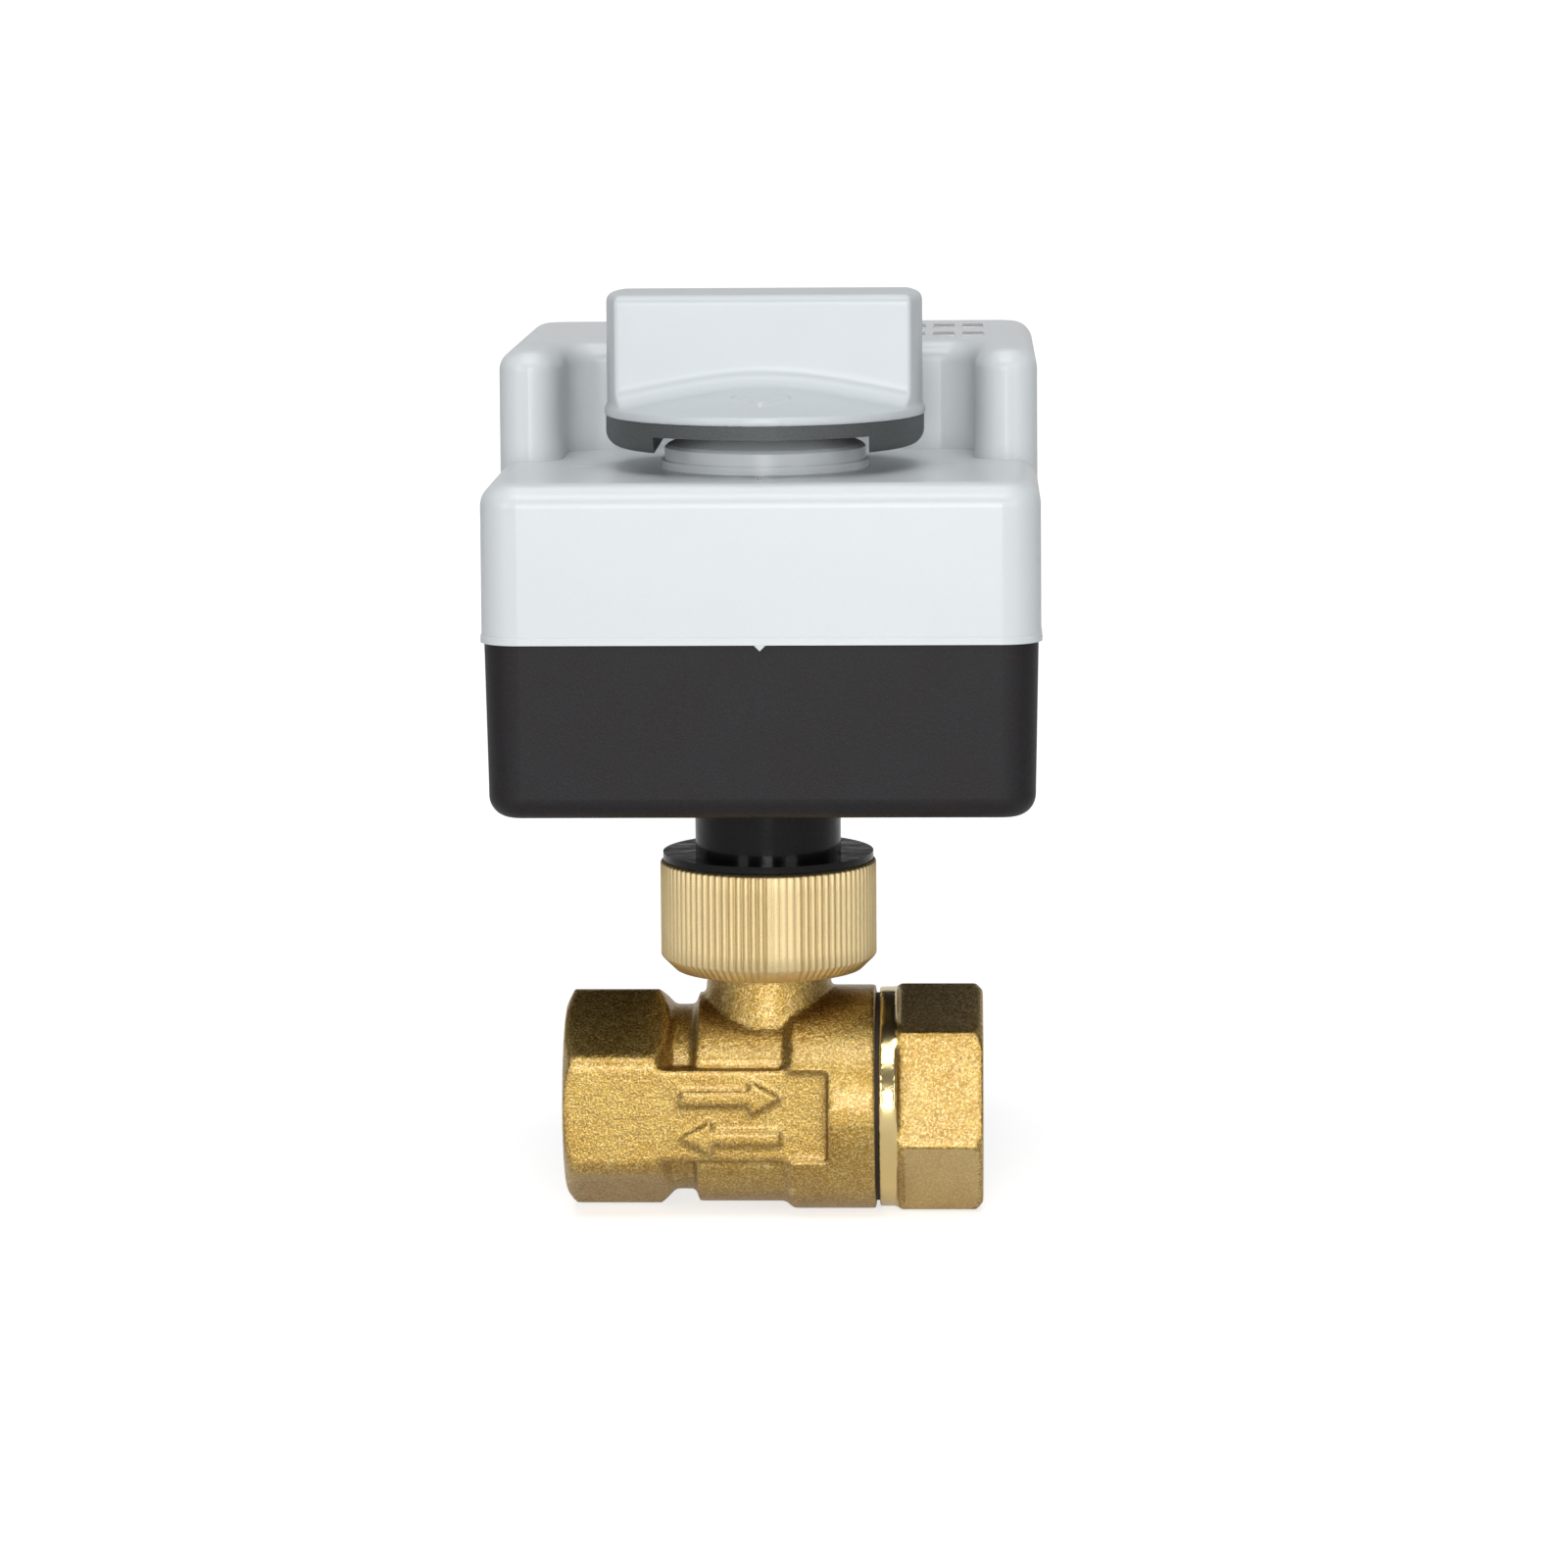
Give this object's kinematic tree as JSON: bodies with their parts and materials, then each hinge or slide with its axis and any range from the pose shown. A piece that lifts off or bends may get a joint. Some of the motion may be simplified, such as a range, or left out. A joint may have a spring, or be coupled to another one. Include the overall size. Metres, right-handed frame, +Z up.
{
  "type": "motorised zone valve",
  "caption": "Motorised two-port brass ball valve with a geared electric actuator box, a knurled coupling nut and a manual knob.",
  "frame": {"origin": "centre of the inlet port's mouth, on the pipe axis", "axes": "+X along the flow from inlet to outlet, +Z up the stem to the actuator and knob, -Y towards the front of the actuator; the stem axis is at X = 28.2 mm"},
  "size_m": [0.0754, 0.1089, 0.1279],
  "materials": {
    "cast_brass": "sand-cast, lightly grained",
    "turned_brass": "knurled and turned, dull",
    "cover_plastic": "light grey, satin moulded",
    "knob_plastic": "light grey, satin moulded",
    "dark_plastic": "dark grey, fine texture",
    "base_plastic": "near black, fine spark texture",
    "gloss_black": "smooth moulded",
    "bright_steel": "machined",
    "zinc_steel": "zinc plated",
    "chrome_brass": "polished chrome plate",
    "white_ptfe": "waxy white",
    "black_rubber": "smooth",
    "natural_acetal": "cut gear plastic",
    "switch_plastic": "moulded",
    "plunger_plastic": "moulded",
    "board_laminate": "green solder mask",
    "terminal_plastic": "moulded",
    "relay_plastic": "moulded",
    "capacitor_sleeve": "shrunk sleeve"
  },
  "bodies": {
    "valve": {"valve_body": "cast_brass", "end_cap": "cast_brass", "cap_seal": "black_rubber", "inlet_seat": "white_ptfe", "outlet_seat": "white_ptfe", "stem_washer": "white_ptfe", "mounting_neck": "gloss_black", "neck_screws": "zinc_steel", "nut_cover_ring": "gloss_black", "snap_ring": "bright_steel", "locating_pins": "bright_steel", "lower_bush": "natural_acetal", "base_housing": "base_plastic", "cover": "cover_plastic", "housing_seal": "black_rubber", "case_screws": "zinc_steel", "upper_bush": "natural_acetal", "idler_pin": "bright_steel", "gear_plate": "zinc_steel", "plate_screws": "zinc_steel", "motor": "zinc_steel", "motor_screws": "zinc_steel", "closing_switch": "switch_plastic", "opening_switch": "switch_plastic", "switch_screws": "zinc_steel", "switch_spacers": "zinc_steel", "circuit_board": "board_laminate", "board_posts": "turned_brass", "board_screws": "zinc_steel", "terminal_block": "terminal_plastic", "terminal_screws": "zinc_steel", "relay": "relay_plastic", "capacitor": "capacitor_sleeve", "gland_body": "gloss_black", "gland_seal": "black_rubber", "gland_nut": "gloss_black", "gland_locknut": "gloss_black"},
    "output": {"ball": "chrome_brass", "valve_stem": "turned_brass", "stem_seals": "black_rubber", "drive_coupler": "turned_brass", "output_shaft": "bright_steel", "shaft_clip": "bright_steel", "knob_cap": "knob_plastic", "knob_base": "dark_plastic", "output_gear": "natural_acetal", "closing_cam": "natural_acetal", "opening_cam": "natural_acetal"},
    "idler": {"idler_gear": "natural_acetal"},
    "pinion": {"motor_pinion": "bright_steel"},
    "closing_button": {"closing_plunger": "plunger_plastic"},
    "opening_button": {"opening_plunger": "plunger_plastic"},
    "nut": {"coupling_nut": "turned_brass"}
  },
  "joints": [
    {"name": "output_turn", "type": "hinge", "parent": "valve", "child": "output", "pos_m": [0.0282, 0, 0.09], "axis": [0, 0, -1], "range_deg": [0, 90]},
    {"name": "idler_turn", "type": "hinge", "parent": "valve", "child": "idler", "pos_m": [0.0397, 0.02465, 0.055], "axis": [0, 0, 1], "range_deg": [0, 347.2]},
    {"name": "pinion_turn", "type": "hinge", "parent": "valve", "child": "pinion", "pos_m": [0.0203, 0.03585, 0.06], "axis": [0, 0, -1], "range_deg": [0, 1041.6]},
    {"name": "closing_button_press", "type": "slide", "parent": "valve", "child": "closing_button", "axis": [1, 0, 0], "range_m": [0, 0.00091]},
    {"name": "opening_button_release", "type": "slide", "parent": "valve", "child": "opening_button", "axis": [-1, 0, 0], "range_m": [0, 0.00091]},
    {"name": "nut_turn", "type": "hinge", "parent": "valve", "child": "nut", "pos_m": [0.0282, 0, 0.026], "axis": [0, 0, 1], "continuous": true}
  ],
  "couplings": [
    {"joint": "idler_turn", "follows": "output_turn", "ratio": 3.8571},
    {"joint": "pinion_turn", "follows": "output_turn", "ratio": 11.571},
    {"joint": "closing_button_press", "follows": "output_turn", "m_per_rad": 0.00057296},
    {"joint": "opening_button_release", "follows": "output_turn", "m_per_rad": 0.00057296}
  ]
}
